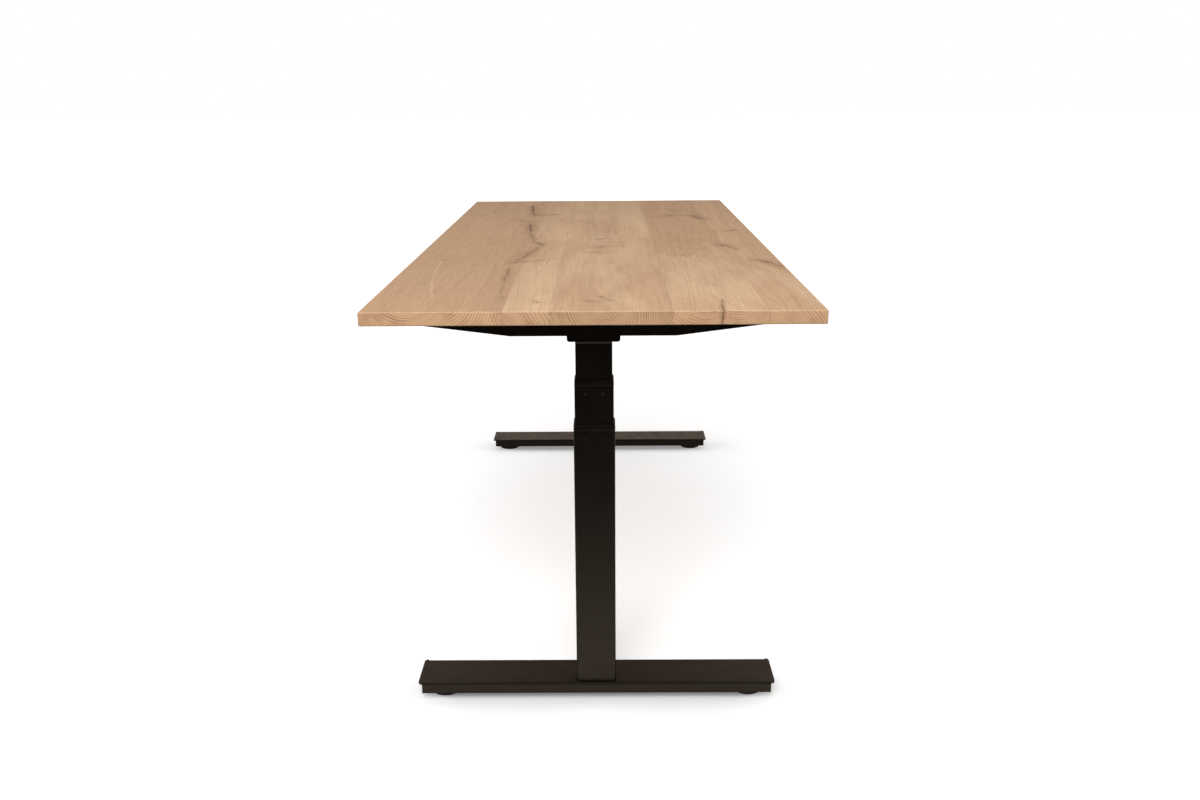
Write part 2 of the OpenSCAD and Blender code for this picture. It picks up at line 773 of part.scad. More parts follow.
// Moves a part to the middle of the handset's front face
module at_handset() {
    translate([set_mid_x, set_face_y, under_z - set_h / 2]) children();
}

module handset_housing() {
    color("#18191a") difference() {
        translate([set_mid_x, set_face_y + set_w / 2, under_z - set_h]) linear_extrude(set_h)
            round_rect(set_l, set_w, 5);
        at_handset() {
            for (i = [0 : 5]) translate([first_button_x + i * button_pitch, -1, 0]) rotate([-90, 0, 0])
                cylinder(d = button_d + 2 * button_gap, h = 1 + button_in + 2 * button_travel);
            translate([display_x - display_l / 2 - slide_fit, -1, -display_h / 2 - slide_fit])
                cube([display_l + 2 * slide_fit, 1 + display_t + slide_fit, display_h + 2 * slide_fit]);
        }
        for (s = [-1, 1]) translate([set_mid_x + s * set_ear_x, set_ear_y, 0]) {
            rod(wood_d + 2 * bolt_fit, under_z - set_h - 1, under_z + 1);
            rod(wood_head_d + 1, under_z - set_h - 1, under_z - set_floor);
        }
    }
}

module handset_display() {
    color("#0c0f12") at_handset()
        translate([display_x - display_l / 2, 0, -display_h / 2]) cube([display_l, display_t, display_h]);
}

module button(i) {
    color("#3a3c3e") at_handset() translate([first_button_x + i * button_pitch, -button_proud, 0])
        rotate([-90, 0, 0]) {
            edge = 0.5;
            cylinder(d1 = button_d - 2 * edge, d2 = button_d, h = edge);
            translate([0, 0, edge]) cylinder(d = button_d, h = button_proud + button_in - edge);
        }
}

// ---------------------------------------------------------------- nodes

tabletop();
on_left() side_bracket();  // side_bracket_left
side_bracket();  // side_bracket_right
on_left() column_head();  // column_head_left
column_head();  // column_head_right
on_left() inner_tube();  // inner_tube_left
inner_tube();  // inner_tube_right
on_left() travel_nut();  // travel_nut_left
travel_nut();  // travel_nut_right
on_left() gearbox();  // gearbox_left
gearbox();  // gearbox_right
on_left() motor();  // motor_left
motor();  // motor_right
on_left() cross_rail(-1);  // cross_rail_front_left
cross_rail(-1);  // cross_rail_front_right
on_left() cross_rail(1);  // cross_rail_rear_left
cross_rail(1);  // cross_rail_rear_right
center_frame();
rail_lock_screws();
rail_bolts();
bracket_screws();
top_screws();
control_box();
control_box_plate();
handset_housing();
handset_display();
button(0);  // button_up
button(1);  // button_down
button(2);  // button_one
button(3);  // button_two
button(4);  // button_three
button(5);  // button_store
on_left() drive_tube();  // drive_tube_left
drive_tube();  // drive_tube_right
on_left() mid_tube();  // mid_tube_left
mid_tube();  // mid_tube_right
on_left() mid_collar();  // mid_collar_left
mid_collar();  // mid_collar_right
on_left() mid_guide();  // mid_guide_left
mid_guide();  // mid_guide_right
on_left() bearing();  // bearing_left
bearing();  // bearing_right
on_left() hollow_screw();  // hollow_screw_left
hollow_screw();  // hollow_screw_right
on_left() outer_tube();  // outer_tube_left
outer_tube();  // outer_tube_right
on_left() outer_collar();  // outer_collar_left
outer_collar();  // outer_collar_right
on_left() base_plate();  // base_plate_left
base_plate();  // base_plate_right
on_left() fixed_screw();  // fixed_screw_left
fixed_screw();  // fixed_screw_right
on_left() foot();  // foot_left
foot();  // foot_right
on_left() foot_bolts();  // foot_bolts_left
foot_bolts();  // foot_bolts_right
on_left() glide(-1);  // glide_front_left
glide(-1);  // glide_front_right
on_left() glide(1);  // glide_rear_left
glide(1);  // glide_rear_right
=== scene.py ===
"""A height adjustable standing desk: finishes, small details, floor, light and camera.

Everything is in metres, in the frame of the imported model: +X to the desk's right end,
-Y to the sitter, +Z up from the floor. Places come from the boxes of the model's nodes.
"""

import json
import math
from collections import namedtuple

import bmesh
import bpy
from mathutils import Matrix, Vector


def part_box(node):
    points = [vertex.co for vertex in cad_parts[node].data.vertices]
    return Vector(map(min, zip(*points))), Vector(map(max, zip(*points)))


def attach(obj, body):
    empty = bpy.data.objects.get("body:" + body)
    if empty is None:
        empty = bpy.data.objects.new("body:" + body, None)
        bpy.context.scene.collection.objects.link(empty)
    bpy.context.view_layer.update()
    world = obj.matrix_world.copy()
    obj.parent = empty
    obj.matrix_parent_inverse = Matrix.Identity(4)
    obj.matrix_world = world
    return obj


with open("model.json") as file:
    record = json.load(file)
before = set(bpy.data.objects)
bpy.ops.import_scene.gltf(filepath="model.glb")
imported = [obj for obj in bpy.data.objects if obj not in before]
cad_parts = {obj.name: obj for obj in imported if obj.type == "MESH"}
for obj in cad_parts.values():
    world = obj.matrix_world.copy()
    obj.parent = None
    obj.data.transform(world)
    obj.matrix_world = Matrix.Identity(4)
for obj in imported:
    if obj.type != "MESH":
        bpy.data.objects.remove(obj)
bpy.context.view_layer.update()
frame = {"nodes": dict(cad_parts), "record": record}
NODES = frame["nodes"]

# Camera: where it stands, how it is turned in degrees, and its lens on a 36 mm wide sensor
CAMERA_PLACE = (2.7059, 0.0218, 1.1730)
CAMERA_YAW = 0.33
CAMERA_PITCH = 16.28
CAMERA_ROLL = -0.38
LENS = 32.55
SENSOR = 36.0

# Floor: half its side, its glow as the lens sees it, near and far, a painted light added to
# that from the near foot on, which lifts the desktop's shade on the floor for the lens, and
# the light that it throws back on the desk
FLOOR_REACH = 40.0
FLOOR_NEAR = 0.20
FLOOR_FAR = 0.95
FLOOR_SHADE_LIFT = 0.09
FLOOR_THROW = 0.31

# Distances on the floor from the desk's middle: where the glow that the lens sees starts and
# ends its rise, and where the thrown light starts and ends its fall. Along X, where the thrown
# light grows from LEGS_THROW of itself, between the legs, to the whole of it, and where the
# painted light that lifts the desktop's shade on the floor starts and is full
SEEN_RISE = (1.3, 6.0)
THROW_FALL = (0.95, 1.9)
LEGS_FADE = (0.62, 0.95)
LEGS_THROW = 0.45
SHADE_LIFT_FADE = (0.72, 0.30)

# Surround: its strength at the horizon and overhead, and the strength and colour of a
# backdrop that stands low beyond the left end
SKY_LOW = 0.02
SKY_HIGH = 1.10
BACKDROP = 1.25
BACKDROP_COLOUR = (1.0, 0.74, 0.56, 1.0)
WHITE = (1.0, 1.0, 1.0, 1.0)

# Lamps: name, place, what each is turned to, how wide it is, and its power in watts
LAMPS = (
    ("key_light", (2.9, -0.3, 2.3), (0.8, 0.0, 0.7), 1.6, 55.0),
    ("left_fill", (-0.6, -3.0, 1.1), (-0.3, 0.0, 0.0), 2.0, 52.0),
    ("right_fill", (-0.6, 3.0, 1.1), (-0.3, 0.0, 0.0), 2.0, 52.0),
)

# The desktop's boards from front to rear: the edge where each starts, the centre of its
# growth rings across and above the floor, how light its face is, how far along X its dark
# heartwood reaches and how dark that is, and how light its end grain is
Board = namedtuple("Board", "edge ring_y ring_z face_light heart_end heart_depth end_light")
BOARDS = (
    Board(-0.400, -0.305, 0.862, 0.935, 1.30, 0.62, 1.06),
    Board(-0.155, -0.230, 0.700, 0.950, -0.35, 0.35, 1.00),
    Board(-0.073, 0.014, 0.806, 0.960, -0.60, 0.25, 0.93),
    Board(0.137, 0.205, 0.868, 0.965, 0.30, 0.75, 1.06),
    Board(0.301, 0.300, 0.700, 0.985, 0.45, 0.60, 1.08),
)

# Growth rings: their spacing on the faces and on the end grain, and how far they wander
# along a board, ripple, and swell round a knot
RING_SPACING = 0.0044
END_SPACING = 0.0042
RING_WANDER = 0.075
RING_RIPPLE = 0.006
RING_SWELL = 0.016

# Oak's colours
SAPWOOD = (0.640, 0.430, 0.262, 1.0)
HEARTWOOD = (0.440, 0.256, 0.140, 1.0)
GRAIN = (0.250, 0.134, 0.072, 1.0)
FLECK = (0.780, 0.575, 0.400, 1.0)
# The end grain's colour is set lighter than the sapwood's, partly as painted light for the
# dimmer ends
END_WOOD = (0.700, 0.440, 0.258, 1.0)
END_RING = (0.330, 0.150, 0.072, 1.0)
END_PATCH = (0.400, 0.190, 0.098, 1.0)
# Painted highlight on the rounded edge round the top
RIM_HIGHLIGHT = (0.820, 0.600, 0.400, 1.0)
FLARE = (0.800, 0.590, 0.410, 1.0)
CRACK = (0.070, 0.034, 0.018, 1.0)
CRACK_SIDE = (0.225, 0.120, 0.064, 1.0)

# Cracks, small knots and dark streaks: start (x, y), end (x, y), half width, darkness
MARKS = (
    ((-0.77, -0.210), (-0.47, -0.183), 0.0055, 0.95),
    ((-0.49, -0.184), (-0.51, -0.115), 0.0060, 0.60),
    ((-0.31, -0.182), (-0.12, -0.172), 0.0055, 0.95),
    ((-0.39, -0.225), (-0.33, -0.184), 0.0080, 0.40),
    ((-0.14, -0.174), (0.07, -0.151), 0.0035, 0.55),
    ((0.06, -0.152), (0.12, -0.125), 0.0055, 0.90),
    ((0.11, -0.128), (0.38, -0.172), 0.0055, 0.55),
    ((0.38, -0.178), (0.36, -0.150), 0.0045, 0.85),
    ((0.37, -0.160), (0.35, -0.112), 0.0035, 0.60),
    ((0.44, -0.178), (0.65, -0.174), 0.0040, 0.50),
    ((0.64, -0.174), (0.82, -0.163), 0.0040, 0.22),
    ((0.02, 0.002), (0.01, 0.030), 0.0055, 0.70),
    ((0.07, 0.002), (0.07, 0.068), 0.0040, 0.40),
    ((0.16, 0.008), (0.13, 0.022), 0.0060, 0.65),
    ((0.24, -0.024), (0.24, 0.004), 0.0050, 0.50),
    ((-0.62, 0.226), (-0.60, 0.234), 0.0080, 0.50),
    ((-0.44, 0.188), (-0.48, 0.216), 0.0100, 0.65),
    ((-0.48, 0.212), (-0.47, 0.276), 0.0100, 0.40),
    ((-0.48, 0.270), (-0.38, 0.297), 0.0100, 0.70),
    ((0.28, 0.178), (0.29, 0.212), 0.0050, 0.38),
    ((-0.12, 0.334), (-0.14, 0.364), 0.0060, 0.62),
    ((0.12, 0.294), (0.15, 0.312), 0.0060, 0.90),
    ((0.15, 0.308), (0.20, 0.324), 0.0050, 0.60),
    ((0.35, 0.350), (0.40, 0.376), 0.0080, 0.60),
    ((0.39, 0.370), (0.46, 0.392), 0.0070, 0.42),
    ((0.34, -0.348), (0.33, -0.322), 0.0040, 0.30),
    ((0.36, -0.310), (0.34, -0.284), 0.0040, 0.18),
    ((0.81, -0.100), (0.82, -0.094), 0.0035, 0.70),
    ((0.81, -0.010), (0.82, 0.002), 0.0035, 0.80),
    ((0.77, 0.016), (0.78, 0.022), 0.0030, 0.85),
    ((0.80, 0.024), (0.81, 0.034), 0.0030, 0.70),
    ((0.80, 0.230), (0.87, 0.220), 0.0022, 0.85),
    ((0.85, 0.221), (0.92, 0.220), 0.0016, 1.00),
)

# Pale flares, in the same form
FLARES = (
    ((0.34, -0.334), (0.50, -0.330), 0.0040, 0.40),
    ((0.49, -0.331), (0.80, -0.290), 0.0035, 0.28),
    ((-0.40, 0.110), (-0.10, 0.128), 0.0050, 0.25),
)

# Where the grain bends round a knot: (x, y), reach across the board. Along the board it
# reaches further, because a distance there counts for only KNOT_ALONG of itself
KNOTS = (
    ((0.03, 0.020), 0.055),
    ((0.24, -0.016), 0.045),
    ((0.10, -0.140), 0.070),
    ((-0.19, -0.176), 0.060),
    ((0.37, -0.160), 0.070),
    ((0.15, 0.308), 0.050),
    ((0.39, 0.360), 0.060),
    ((-0.45, 0.245), 0.080),
    ((0.80, 0.015), 0.050),
    ((0.88, 0.222), 0.040),
    ((0.35, -0.330), 0.060),
)
KNOT_ALONG = 0.45

# Cracks and flares: how far their lines wander along and across the board, and how many
# times wider than a crack its brown edge is
MARK_WANDER = (0.05, 0.022, 0.0)
CRACK_SPREAD = 5.0

# Tints of the gloss on black paint and plastic, and on the painted edge highlights, pegs and
# rubber
WARM_GLOSS = (1.0, 0.80, 0.58)
PALE_GLOSS = (1.0, 0.84, 0.66)
BUMP_DEPTH = 0.0002

# Tubes: the radius of their corners, how far their rolled edges stand proud of them, how
# far below the top the pegs sit, and how far the pegs are from the middle of a wide face
TUBE_CORNER = {"outer": 0.004, "mid": 0.0035}
EDGE_PROUD = 0.00035
PEG_DROP = 0.017
PEG_SPREAD = 0.016

# The control box's ports: middle along X, width, number of pins, height of a pin. Then the
# ports' height, how deep in a port its pins start, how far they come out from there and how
# wide they are, the box's own height, and where its lamp sits along X
PORTS = (
    (-0.084, 0.024, 3, 0.0030),
    (-0.040, 0.014, 4, 0.0012),
    (-0.014, 0.014, 4, 0.0012),
    (0.012, 0.014, 4, 0.0012),
    (0.038, 0.014, 4, 0.0012),
)
PORT_HEIGHT = 0.013
PIN_START = 0.009
PIN_LENGTH = 0.0060
PIN_WIDTH = 0.0010
BOX_HEIGHT = 0.035
LAMP_X = 0.062

# The display's number, and which segments of each digit are lit: t, m and b lie across the
# top, middle and bottom, u and v stand above the middle, and l and w below it
SHOWN = "80"
LIT = {"8": "tmbulvw", "0": "tbulvw"}
DIGIT_PITCH = 0.0062

TO_SITTER = (0.0, -1.0, 0.0)

# Edges that rise by less than this are level
LEVEL = 1e-7


# ------------------------------------------------------------------ node graphs


class Graph:
    """The nodes of a material or of the surround, with short calls for the ones used here."""

    def __init__(self, owner, shader="Principled BSDF"):
        owner.use_nodes = True
        self.owner = owner
        self.tree = owner.node_tree
        self.shader = self.tree.nodes[shader]

    def add(self, kind, inputs=(), **settings):
        made = self.tree.nodes.new(kind)
        for key, value in settings.items():
            setattr(made, key, value)
        for key, value in dict(inputs).items():
            self.put(value, made.inputs[key])
        return made

    def put(self, value, socket):
        if isinstance(value, bpy.types.NodeSocket):
            self.tree.links.new(value, socket)
        else:
            socket.default_value = value

    def set(self, name, value):
        self.put(value, self.shader.inputs[name])

    def place(self):
        return self.add("ShaderNodeTexCoord").outputs["Object"]

    def seen(self):
        return self.add("ShaderNodeLightPath").outputs["Is Camera Ray"]

    def split(self, vector):
        return self.add("ShaderNodeSeparateXYZ", {0: vector}).outputs

    def join(self, x, y, z):
        return self.add("ShaderNodeCombineXYZ", {0: x, 1: y, 2: z}).outputs[0]

    def math(self, operation, a, b=0.0):
        return self.add("ShaderNodeMath", {0: a, 1: b}, operation=operation).outputs[0]

    def plus(self, a, b):
        return self.math("ADD", a, b)

    def minus(self, a, b):
        return self.math("SUBTRACT", a, b)

    def times(self, a, b):
        return self.math("MULTIPLY", a, b)

    def distance(self, a, b):
        return self.math("SQRT", self.plus(self.times(a, a), self.times(b, b)))

    def remap(self, value, low, high, to_low=0.0, to_high=1.0):
        span = {"From Min": low, "From Max": high, "To Min": to_low, "To Max": to_high}
        made = self.add(
            "ShaderNodeMapRange", {"Value": value, **span}, interpolation_type="SMOOTHSTEP"
        )
        return made.outputs["Result"]

    def noise(self, vector, scale, detail=3.0, roughness=0.5):
        settings = {"Vector": vector, "Scale": scale, "Detail": detail, "Roughness": roughness}
        return self.add("ShaderNodeTexNoise", settings).outputs[0]

    def bands(self, value, detail=3.0, roughness=0.6):
        settings = {"W": value, "Scale": 1.0, "Detail": detail, "Roughness": roughness}
        return self.add("ShaderNodeTexNoise", settings, noise_dimensions="1D").outputs[0]

    def vector(self, operation, a, b):
        made = self.add("ShaderNodeVectorMath", {0: a, 1: b}, operation=operation)
        return made.outputs["Value" if operation == "DOT_PRODUCT" else "Vector"]

    def scaled(self, vector, factor):
        inputs = {0: vector, "Scale": factor}
        return self.add("ShaderNodeVectorMath", inputs, operation="SCALE").outputs[0]

    def stretch(self, vector, scale, shift=(0.0, 0.0, 0.0)):
        inputs = {"Vector": vector, "Scale": scale, "Location": shift}
        return self.add("ShaderNodeMapping", inputs).outputs[0]

    def mix(self, factor, a, b):
        made = self.add("ShaderNodeMix", {0: factor, 6: a, 7: b}, data_type="RGBA")
        return made.outputs[2]

    def bump(self, height, strength, distance):
        inputs = {"Height": height, "Strength": strength, "Distance": distance}
        self.set("Normal", self.add("ShaderNodeBump", inputs).outputs[0])


def material_graph(name):
    return Graph(bpy.data.materials.new(name))


# ------------------------------------------------------------------ oak


def per_board(g, share, values):
    """Each board's own value, picked by a point's share of the number of boards."""
    ramp = g.add("ShaderNodeValToRGB", {0: share})
    ramp.color_ramp.interpolation = "CONSTANT"
    low, high = min(values), max(values)
    stops = ramp.color_ramp.elements
    for order, value in enumerate(values):
        spot = order / len(values)
        stop = stops[order] if order < 2 else stops.new(spot)
        stop.position = spot
        grey = (value - low) / (high - low)
        stop.color = (grey, grey, grey, 1.0)
    return g.plus(g.times(ramp.outputs[0], high - low), low)


def drawn(g, place, marks, spread):
    """The darkest of the marks at a point, each widened by spread times."""
    most = 0.0
    for (x0, y0), (x1, y1), half_width, depth in marks:
        length = math.hypot(x1 - x0, y1 - y0)
        forward = ((x1 - x0) / length, (y1 - y0) / length)
        from_middle = g.vector("SUBTRACT", place, ((x0 + x1) / 2.0, (y0 + y1) / 2.0, 0.0))
        along = g.math("ABSOLUTE", g.vector("DOT_PRODUCT", from_middle, (*forward, 0.0)))
        beside = g.vector("DOT_PRODUCT", from_middle, (-forward[1], forward[0], 0.0))
        ends = g.remap(along, length / 2.0 + half_width * spread, length * 0.32)
        core = g.remap(g.math("ABSOLUTE", beside), half_width * spread, 0.0, 0.0, depth)
        most = g.math("MAXIMUM", most, g.times(core, ends))
    return most


def oak():
    """Oiled solid oak: rings round each board's own centre, pores along X, knots, cracks."""
    g = material_graph("oiled_oak")
    place = g.place()
    x, y, z = g.split(place)

    # Which board a point lies in, as a share of the number of boards
    index = 0.0
    for board in BOARDS[1:]:
        index = g.plus(index, g.math("GREATER_THAN", y, board.edge))
    share = g.math("DIVIDE", g.plus(index, 0.5), float(len(BOARDS)))
    ring_y, ring_z, face_light, heart_end, heart_depth, end_light = [
        per_board(g, share, values) for values in list(zip(*BOARDS))[1:]
    ]

    # Each board is cut from its own stretch of the noise. Its rings wander along it, and
    # swell round the knots
    own = g.vector("ADD", place, g.join(g.times(index, 3.7), index, 0.0))
    wander = g.noise(g.stretch(own, (1.1, 5.0, 5.0)), 1.0, 2.0)
    ripple = g.noise(g.stretch(own, (7.0, 34.0, 34.0)), 1.0, 2.0)
    swell = 0.0
    for (knot_x, knot_y), reach in KNOTS:
        away = g.distance(g.times(g.minus(x, knot_x), KNOT_ALONG), g.minus(y, knot_y))
        swell = g.plus(swell, g.remap(away, reach, 0.0))
    radius = g.distance(g.minus(y, ring_y), g.minus(z, ring_z))
    radius = g.plus(radius, g.times(wander, RING_WANDER))
    radius = g.plus(radius, g.times(ripple, RING_RIPPLE))
    radius = g.plus(radius, g.times(swell, RING_SWELL))
    year = g.math("DIVIDE", radius, RING_SPACING)
    strength = g.remap(g.bands(g.times(year, 0.37)), 0.35, 0.68, 0.15, 1.0)
    rings = g.times(g.remap(g.math("FRACT", year), 0.15, 0.90), strength)
    broad = g.remap(g.bands(g.times(year, 0.11), 2.0), 0.40, 0.66)

    pores = g.noise(g.stretch(own, (16.0, 700.0, 700.0)), 1.0, 2.0, 0.6)
    pores = g.remap(pores, 0.50, 0.70)
    fibres = g.noise(g.stretch(own, (8.0, 250.0, 250.0)), 1.0, 4.0, 0.65)
    clouds = g.noise(g.stretch(own, (2.4, 9.0, 9.0), (3.0, 1.0, 0.0)), 1.0, 4.0, 0.55)
    patches = g.noise(g.stretch(own, (9.0, 26.0, 26.0)), 1.0, 3.0)
    flecks = g.noise(g.stretch(own, (45.0, 150.0, 150.0), (9.0, 4.0, 0.0)), 1.0, 2.0, 0.6)

    # Dark heartwood ends in a ragged front, and clouds drift through all of the wood
    front = g.plus(x, g.times(g.minus(clouds, 0.5), 1.5))
    heart = g.times(g.remap(g.minus(front, heart_end), 0.22, -0.16), heart_depth)
    cloud = g.times(g.remap(clouds, 0.38, 0.64), 0.55)
    colour = g.mix(g.math("MAXIMUM", heart, cloud), SAPWOOD, HEARTWOOD)
    for darkness in (
        g.times(broad, 0.16),
        g.times(rings, 0.28),
        g.remap(patches, 0.45, 0.75, 0.0, 0.14),
        g.remap(fibres, 0.40, 0.75, 0.0, 0.11),
        g.times(pores, 0.16),
    ):
        colour = g.mix(darkness, colour, GRAIN)
    colour = g.mix(g.remap(flecks, 0.56, 0.74, 0.0, 0.20), colour, FLECK)

    # The end grain is redder, with plain rings. It is also lighter than the faces, partly as
    # painted light for the ends, which get less light than the top
    normal_x, _, normal_z = g.split(g.add("ShaderNodeNewGeometry").outputs["Normal"])
    end_face = g.remap(g.math("ABSOLUTE", normal_x), 0.75, 0.95)
    end_year = g.math("DIVIDE", radius, END_SPACING)
    end_strength = g.remap(g.bands(g.times(end_year, 0.29)), 0.30, 0.70, 0.40, 0.85)
    end_rings = g.times(g.remap(g.math("FRACT", end_year), 0.20, 0.95), end_strength)
    end_rings = g.times(end_rings, g.remap(patches, 0.25, 0.65, 0.60, 1.0))
    end_colour = g.mix(end_rings, END_WOOD, END_RING)
    end_colour = g.mix(g.remap(patches, 0.48, 0.70, 0.0, 0.35), end_colour, END_PATCH)
    colour = g.mix(end_face, colour, end_colour)

    # A painted highlight makes the rounded edge round the top paler
    rim_highlight = g.times(g.remap(normal_z, 0.20, 0.60), g.remap(normal_z, 0.97, 0.80))
    colour = g.mix(g.times(rim_highlight, 0.35), colour, RIM_HIGHLIGHT)

    # Glue lines between the boards
    for board in BOARDS[1:]:
        away = g.math("ABSOLUTE", g.minus(y, board.edge))
        colour = g.mix(g.remap(away, 0.0011, 0.0003, 0.0, 0.25), colour, GRAIN)

    # Each board has its own lightness. Painted shade darkens the left end and painted light
    # lifts the right end a little, where the light on the top falls off towards the left
    tone_and_shade = g.times(face_light, g.minus(1.0, end_face))
    # Each board's end grain lightness is mostly above its face's, partly as painted light for
    # the dimmer ends
    tone_and_shade = g.plus(tone_and_shade, g.times(end_light, end_face))
    tone_and_shade = g.times(tone_and_shade, g.remap(x, -0.90, -0.20, 0.91, 1.0))
    tone_and_shade = g.times(tone_and_shade, g.remap(x, 0.20, 0.85, 1.0, 1.03))
    colour = g.scaled(colour, tone_and_shade)

    # Marks follow their own wandering lines, and have a soft brown edge
    wiggle_x = g.noise(g.stretch(place, (20.0, 30.0, 24.0)), 1.0, 4.0, 0.65)
    wiggle_y = g.noise(g.stretch(place, (14.0, 30.0, 24.0), (5.0, 2.0, 0.0)), 1.0, 4.0, 0.65)
    wiggle = g.vector("SUBTRACT", g.join(wiggle_x, wiggle_y, 0.5), (0.5, 0.5, 0.5))
    bent = g.vector("ADD", place, g.vector("MULTIPLY", wiggle, MARK_WANDER))
    broken = g.noise(g.stretch(place, (30.0, 90.0, 9.0)), 1.0, 3.0)
    broken = g.remap(broken, 0.34, 0.56, 0.35, 1.0)
    dark = g.times(drawn(g, bent, MARKS, 1.0), broken)
    colour = g.mix(g.times(drawn(g, bent, FLARES, 1.0), broken), colour, FLARE)
    side = g.times(drawn(g, bent, MARKS, CRACK_SPREAD), 0.50)
    colour = g.mix(side, colour, CRACK_SIDE)
    colour = g.mix(dark, colour, CRACK)

    g.set("Base Color", colour)
    g.set("Roughness", g.remap(fibres, 0.2, 0.8, 0.46, 0.62))
    g.set("Specular IOR Level", 0.22)
    g.bump(g.minus(g.times(pores, -0.6), g.times(dark, 2.0)), 0.35, 0.0004)
    return g.owner


# ------------------------------------------------------------------ other finishes


def powder_coat():
    """Matte warm black powder coat, with a very fine pebbled surface."""
    g = material_graph("black_powder_coat")
    place = g.place()
    mottle = g.noise(place, 34.0, 2.0)
    dark, light = (0.0016, 0.0012, 0.0008, 1.0), (0.0024, 0.0018, 0.0012, 1.0)
    g.set("Base Color", g.mix(mottle, dark, light))
    g.set("Roughness", g.remap(mottle, 0.3, 0.7, 0.38, 0.46))
    g.set("Specular IOR Level", 0.36)
    g.set("Specular Tint", (*WARM_GLOSS, 1.0))
    g.bump(g.noise(place, 1400.0, 2.0), 0.10, BUMP_DEPTH)
    return g.owner


def plastic(name, dark, light, roughness, grain=900.0, strength=0.16, gloss=(1.0, 1.0, 1.0)):
    """Moulded plastic or rubber with a fine spark-eroded texture."""
    g = material_graph(name)
    place = g.place()
    mottle = g.noise(place, 25.0, 2.0)
    g.set("Base Color", g.mix(mottle, (*dark, 1.0), (*light, 1.0)))
    g.set("Roughness", g.remap(mottle, 0.3, 0.7, roughness - 0.05, roughness + 0.05))
    g.set("Specular IOR Level", 0.36)
    g.set("Specular Tint", (*gloss, 1.0))
    g.bump(g.noise(place, grain, 2.0), strength, BUMP_DEPTH)
    return g.owner


def metal(name, colour, roughness, stretch):
    """Bare metal, with fine tool marks that run across the stretch's long axis."""
    g = material_graph(name)
    marks = g.noise(g.stretch(g.place(), stretch), 1.0, 3.0)
    wear = 0.18
    dull = [channel * (1.0 - wear) for channel in colour]
    g.set("Base Color", g.mix(marks, (*dull, 1.0), (*colour, 1.0)))
    g.set("Metallic", 1.0)
    g.set("Roughness", g.remap(marks, 0.3, 0.7, roughness - 0.06, roughness + 0.08))
    g.bump(marks, 0.06, BUMP_DEPTH)
    return g.owner


def lit_digits():
    """Pale glowing segments under the display's window."""
    g = material_graph("lit_digits")
    dark, light = (0.60, 0.70, 0.74, 1.0), (0.70, 0.80, 0.84, 1.0)
    g.set("Base Color", g.mix(g.noise(g.place(), 900.0, 1.0), dark, light))
    g.set("Roughness", 0.4)
    g.set("Emission Color", (0.80, 0.93, 1.0, 1.0))
    g.set("Emission Strength", 0.9)
    return g.owner


def white_floor():
    """A bright seamless studio floor, which the desk's paint mirrors only close by.

    The lens sees it nearly white all over. The light that it throws back on the desk fades
    with distance, as that of a lit paper sweep does in a dark room, and is weaker between the
    legs, where it and the floor's colour carry painted shade of the desktop.
    """
    g = material_graph("studio_floor")
    place = g.place()
    seen = g.seen()
    away = g.add("ShaderNodeVectorMath", {0: place}, operation="LENGTH").outputs["Value"]
    x = g.split(place)[0]
    fall_start, fall_end = THROW_FALL
    beyond_legs = g.remap(g.math("ABSOLUTE", x), *LEGS_FADE, LEGS_THROW, 1.0)
    thrown = g.times(g.remap(away, fall_end, fall_start, 0.02, FLOOR_THROW), beyond_legs)
    shown = g.remap(away, *SEEN_RISE, FLOOR_NEAR, FLOOR_FAR)
    # Painted light for the lens, which lifts the desktop's shade on the floor from the near
    # foot on
    shown = g.plus(shown, g.remap(x, *SHADE_LIFT_FADE, 0.0, FLOOR_SHADE_LIFT))
    glow = g.plus(g.times(shown, seen), g.times(thrown, g.minus(1.0, seen)))
    dim, pale = (0.02, 0.02, 0.02, 1.0), (0.80, 0.80, 0.80, 1.0)
    # For all but the lens the floor's colour darkens with distance, and between the legs as
    # painted shade of the desktop
    paper = g.times(g.remap(away, fall_end, fall_start), beyond_legs)
    paper = g.math("MAXIMUM", paper, seen)
    g.set("Base Color", g.mix(paper, dim, pale))
    g.set("Roughness", 0.9)
    g.set("Specular IOR Level", 0.0)
    g.set("Emission Color", WHITE)
    g.set("Emission Strength", glow)
    return g.owner


